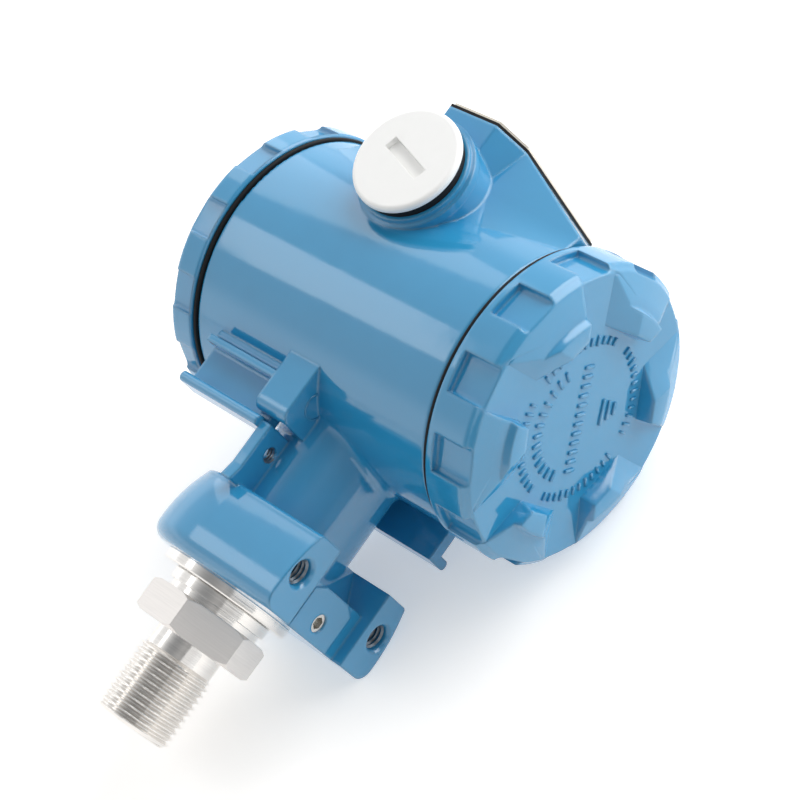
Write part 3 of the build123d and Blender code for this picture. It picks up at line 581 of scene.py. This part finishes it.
def grip_lugs(name, seat, turn, crest, material):
    """Every lug of one cover; the crest is their height over its face."""
    bm = bmesh.new()
    section = [
        (lug_root_r, -lug_sink),
        (slope_foot[0], -lug_sink),
        slope_foot,
        slope_top,
        step_foot,
        (lug_crest_r, crest),
        (lug_root_r, crest),
    ]
    start = [bm.verts.new(lug_corner(r, -lug_reach, z)) for r, z in section]
    face = bm.faces.new(start)
    bmesh.ops.spin(
        bm,
        geom=[face, *face.edges, *face.verts],
        cent=(0, 0, 0),
        axis=(0, 0, 1),
        angle=math.radians(2 * lug_reach),
        steps=26,
    )
    bmesh.ops.recalc_face_normals(bm, faces=bm.faces)
    foot_steep = lug_corner(lug_foot_r, lug_steep_angle, 0)
    foot_ramp = lug_corner(lug_foot_r, lug_ramp_angle, 0)
    wall_top = lug_corner(lug_foot_r + crest * lug_wall_lean, lug_steep_angle, crest)
    ramp_top = lug_corner(lug_foot_r, lug_break_angle, crest)
    steep_top = lug_corner(lug_crest_r, lug_crest_angle, crest)
    cut_off(bm, foot_steep, wall_top, foot_ramp)
    cut_off(bm, foot_ramp, ramp_top, lug_corner(*ramp_rim))
    cut_off(bm, foot_steep, lug_corner(*steep_rim), steep_top)
    bmesh.ops.recalc_face_normals(bm, faces=bm.faces)
    keen = [e for e in bm.edges if e.calc_face_angle(0) > keen_angle]
    bmesh.ops.bevel(
        bm,
        geom=[e for e in keen if max(v.co.z for v in e.verts) > -lug_sink / 2],
        offset=lug_round,
        segments=3,
        profile=0.5,
        affect="EDGES",
        material=-1,
        clamp_overlap=True,
    )
    one = [*bm.verts, *bm.edges, *bm.faces]
    for index in range(1, lug_count):
        more = bmesh.ops.duplicate(bm, geom=one)["geom"]
        turned = [v for v in more if isinstance(v, bmesh.types.BMVert)]
        spun = Matrix.Rotation(-math.radians(360 / lug_count * index), 3, "Z")
        bmesh.ops.rotate(bm, verts=turned, cent=(0, 0, 0), matrix=spun)
    placed = seat @ Matrix.Rotation(math.radians(turn - lug_phase), 4, "Z")
    bmesh.ops.transform(bm, matrix=placed, verts=bm.verts)
    bmesh.ops.recalc_face_normals(bm, faces=bm.faces)
    for each in bm.faces:
        each.smooth = True
    piece = new_piece(name, bm, material)
    piece.data.set_sharp_from_angle(angle=math.radians(40))
    return piece


for name, seat, turn, crest, body in (
    ("front_cover_lugs", face_seat(front_face_x, 1, -1), 0, front_crest, "front_cover_screwed"),
    ("rear_cover_lugs", face_seat(rear_face_x, -1, -1), rear_turn, rear_crest, "rear_cover_screwed"),
):
    lugs = grip_lugs(name, seat, turn, crest, blue_paint)
    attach(lugs, body)

# Gaskets: black rubber washers behind the plugs, rubber rings round the pressure
# connector and the cell, and the foam layer under the name plate.
black_rubber = finish("black_rubber", (0.007, 0.007, 0.008), 0.62, 1400, 0.00002, 0.3, specular=0.25)
dress(["plug_gasket_left", "plug_gasket_right", "nameplate_gasket"], black_rubber)
dress(["connector_seal", "capsule_seal"], black_rubber)

# Cover seals: rubber rings that are squeezed between barrel and cover until
# they stand out almost to the rim, which is the black line at each joint.
seal_inner_r = 33.95 * mm
seal_outer_r = 38.5 * mm
seal_round = 0.5 * mm


def squeezed_seal(name, low_x, high_x):
    """Ring between two faces, with its outer edge rounded by the squeeze."""
    bm = bmesh.new()
    section = [
        (low_x, seal_inner_r),
        (low_x, seal_outer_r),
        (high_x, seal_outer_r),
        (high_x, seal_inner_r),
    ]
    corners = [bm.verts.new((x, 0, r)) for x, r in section]
    face = bm.faces.new(corners)
    bmesh.ops.bevel(
        bm,
        geom=corners[1:3],
        offset=seal_round,
        segments=4,
        profile=0.5,
        affect="VERTICES",
        material=-1,
    )
    bmesh.ops.spin(
        bm,
        geom=[*bm.edges, *bm.verts],
        cent=(0, 0, 0),
        axis=(1, 0, 0),
        angle=2 * math.pi,
        steps=128,
        use_merge=True,
    )
    bmesh.ops.delete(bm, geom=[f for f in bm.faces if len(f.verts) > 4], context="FACES_ONLY")
    bmesh.ops.remove_doubles(bm, verts=bm.verts, dist=1e-7)
    bmesh.ops.recalc_face_normals(bm, faces=bm.faces)
    bmesh.ops.translate(bm, verts=bm.verts, vec=(0, 0, barrel_z))
    for each in bm.faces:
        each.smooth = True
    piece = new_piece(name, bm, black_rubber)
    piece.data.set_sharp_from_angle(angle=math.radians(40))
    return piece


for end in ("front", "rear"):
    low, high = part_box(end + "_cover_seal")
    seal = squeezed_seal(end + "_squeezed_seal", low.x, high.x)
    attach(seal, end + "_cover_carrier")
    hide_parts(end + "_cover_seal")

# Conduit plugs: white moulded plastic, slightly satin, with a wide slot for the
# driver. The plug on the end of the cell's lead is the same plastic.
white_plastic = finish("white_moulded_plastic", (0.96, 0.96, 0.945), 0.36, 300, 0.00002, 0.03, edge=0.0004)
dress(["conduit_plug_left", "conduit_plug_right", "lead_connector"], white_plastic)

# Name plate: thin bare metal sheet, brushed along the barrel, on its layer of
# black foam.
plate_metal = finish(
    "brushed_plate", (0.72, 0.68, 0.60), 0.34, 500, 0.000008, 0.16, stretch=(0.04, 1, 1), metal=0.85
)
dress(["nameplate"], plate_metal)

# Screws: plated steel. The set screw and the two of the name plate are outside,
# the others are under the covers.
screw_steel = finish("plated_steel", (0.62, 0.61, 0.58), 0.26, 900, 0.00001, 0.2, edge=0.0001, metal=1.0)
dress(
    [
        "nameplate_screws",
        "sensor_set_screw",
        "module_screws",
        "terminal_screws",
        "terminal_block_screws",
        "inner_earth_screw",
    ],
    screw_steel,
)

# Process connector: turned from one stainless bar. The turned faces have fine
# rings, and the hexagon is milled and duller. Its thread is a piece of its own.
turned_steel = finish(
    "turned_stainless",
    (0.82, 0.80, 0.775),
    0.15,
    60,
    0.000012,
    0.22,
    edge=0.00025,
    stretch=(1, 1, 60),
    metal=1.0,
)
milled_steel = finish(
    "milled_stainless",
    (0.82, 0.79, 0.765),
    0.50,
    90,
    0.000012,
    0.18,
    edge=0.0003,
    stretch=(1, 1, 30),
    metal=1.0,
)
port_r = 3.0 * mm
relief_r = 9.3 * mm
tip_z = -24.5 * mm
thread_top_z = -4.7 * mm
thread_crest_r = 10.48 * mm
thread_root_r = 9.32 * mm
thread_pitch = 1.814 * mm
tip_chamfer_r = 9.35 * mm
hexagon_top_z = 9.1 * mm
hexagon_inner_r = 13.2 * mm
cut_z = -3.0 * mm
core_gap = 0.05 * mm


def connector_body():
    """Copy of the turned part, with a plain core in place of its thread."""
    bm = bmesh.new()
    bm.from_mesh(nodes["process_connector"].data)
    bmesh.ops.remove_doubles(bm, verts=bm.verts, dist=1e-7)
    geometry = [*bm.verts, *bm.edges, *bm.faces]
    bmesh.ops.bisect_plane(
        bm, geom=geometry, plane_co=(0, 0, cut_z), plane_no=(0, 0, -1), clear_outer=True, dist=1e-8
    )
    rim = [e for e in bm.edges if e.is_boundary]
    grown = bmesh.ops.extrude_edge_only(bm, edges=rim)["geom"]
    lower = [v for v in grown if isinstance(v, bmesh.types.BMVert)]
    for vert in lower:
        if math.hypot(vert.co.x, vert.co.y) > (port_r + relief_r) / 2:
            vert.co.xy = vert.co.xy.normalized() * (thread_root_r - core_gap)
        vert.co.z = tip_z
    end_rim = [e for e in bm.edges if e.is_boundary]
    bmesh.ops.bridge_loops(bm, edges=end_rim)
    bmesh.ops.recalc_face_normals(bm, faces=bm.faces)
    for face in bm.faces:
        face.smooth = True
        middle = face.calc_center_median()
        at_hexagon = 0 < middle.z < hexagon_top_z
        outside = math.hypot(middle.x, middle.y) > hexagon_inner_r
        face.material_index = 1 if at_hexagon and outside else 0
    piece = new_piece("process_connector_turned", bm, turned_steel)
    piece.data.materials.append(milled_steel)
    piece.data.attributes.remove(piece.data.attributes["custom_normal"])
    piece.data.set_sharp_from_angle(angle=math.radians(30))
    return piece


connector = connector_body()
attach(connector, "transmitter_body")
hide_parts("process_connector")

# Process thread: a real helix round the connector's core, run out at both ends
# by cones. Its flats are shares of the pitch.
thread_crests = 13
thread_flat = 0.14
thread_tip_gap = 0.02 * mm
run_out_rings = 7
run_out_step = 0.2 * mm
run_out_sink = 0.1 * mm
thread_wall = 0.6 * mm


def outside_thread():
    """Helical thread, closed towards the core."""
    bm = bmesh.new()
    steps = 96
    chain = []
    start_z = tip_z - 2 * thread_pitch
    for index in range(thread_crests):
        foot_z = start_z + index * thread_pitch
        for share, radius in (
            (0.0, thread_root_r),
            (thread_flat, thread_root_r),
            (0.5, thread_crest_r),
            (0.5 + thread_flat, thread_crest_r),
        ):
            chain.append(bm.verts.new((radius, 0, foot_z + share * thread_pitch)))
    chain.append(bm.verts.new((thread_root_r, 0, start_z + thread_crests * thread_pitch)))
    edges = [bm.edges.new(pair) for pair in zip(chain, chain[1:])]
    bmesh.ops.spin(
        bm,
        geom=[*chain, *edges],
        cent=(0, 0, 0),
        axis=(0, 0, 1),
        dvec=(0, 0, thread_pitch / steps),
        angle=2 * math.pi,
        steps=steps,
    )
    bmesh.ops.remove_doubles(bm, verts=bm.verts, dist=2e-6)
    for height, way in ((tip_z + thread_tip_gap, -1), (thread_top_z, 1)):
        bmesh.ops.bisect_plane(
            bm,
            geom=[*bm.verts, *bm.edges, *bm.faces],
            plane_co=(0, 0, height),
            plane_no=(0, 0, way),
            clear_outer=True,
            dist=1e-8,
        )
    for ring in range(1, run_out_rings + 1):
        for height in (tip_z + ring * run_out_step, thread_top_z - ring * run_out_step):
            bmesh.ops.bisect_plane(
                bm,
                geom=[*bm.verts, *bm.edges, *bm.faces],
                plane_co=(0, 0, height),
                plane_no=(0, 0, 1),
                dist=1e-8,
            )
    for vert in bm.verts:
        radius = math.hypot(vert.co.x, vert.co.y)
        below = tip_chamfer_r + (vert.co.z - tip_z)
        above = thread_root_r - run_out_sink + (thread_top_z - vert.co.z)
        vert.co.xy *= min(radius, below, above) / radius
    rims = [e for e in bm.edges if e.is_boundary]
    grown = bmesh.ops.extrude_edge_only(bm, edges=rims)["geom"]
    for vert in (v for v in grown if isinstance(v, bmesh.types.BMVert)):
        vert.co.xy = vert.co.xy.normalized() * (thread_root_r - thread_wall)
    inner = [e for e in bm.edges if e.is_boundary]
    bmesh.ops.bridge_loops(bm, edges=inner)
    bmesh.ops.recalc_face_normals(bm, faces=bm.faces)
    for face in bm.faces:
        face.smooth = True
    piece = new_piece("process_thread", bm, turned_steel)
    piece.data.set_sharp_from_angle(angle=math.radians(25))
    return piece


thread = outside_thread()
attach(thread, "transmitter_body")

# Pressure cell: a closed stainless capsule under a screwed ring, with its
# sheathed lead up the neck.
dress(["sensor_capsule", "capsule_retainer"], turned_steel)
lead_sheath = finish("lead_sheath", (0.02, 0.02, 0.022), 0.55, 1200, 0.00002, 0.2)
dress(["sensor_lead"], lead_sheath)

# Electronics and terminals: black mouldings, a green board, and brass pins and
# clamps behind the covers.
black_plastic = finish(
    "black_moulded_plastic", (0.022, 0.022, 0.024), 0.42, 900, 0.00002, 0.2, edge=0.0003
)
dress(["electronics_cup", "terminal_block"], black_plastic)
board_green = finish("green_board", (0.02, 0.16, 0.07), 0.35, 700, 0.00001, 0.25)
dress(["circuit_board"], board_green)
brass = finish("brass", (0.72, 0.55, 0.25), 0.28, 900, 0.00001, 0.15, metal=1.0)
dress(["feedthrough", "terminal_clamps"], brass)
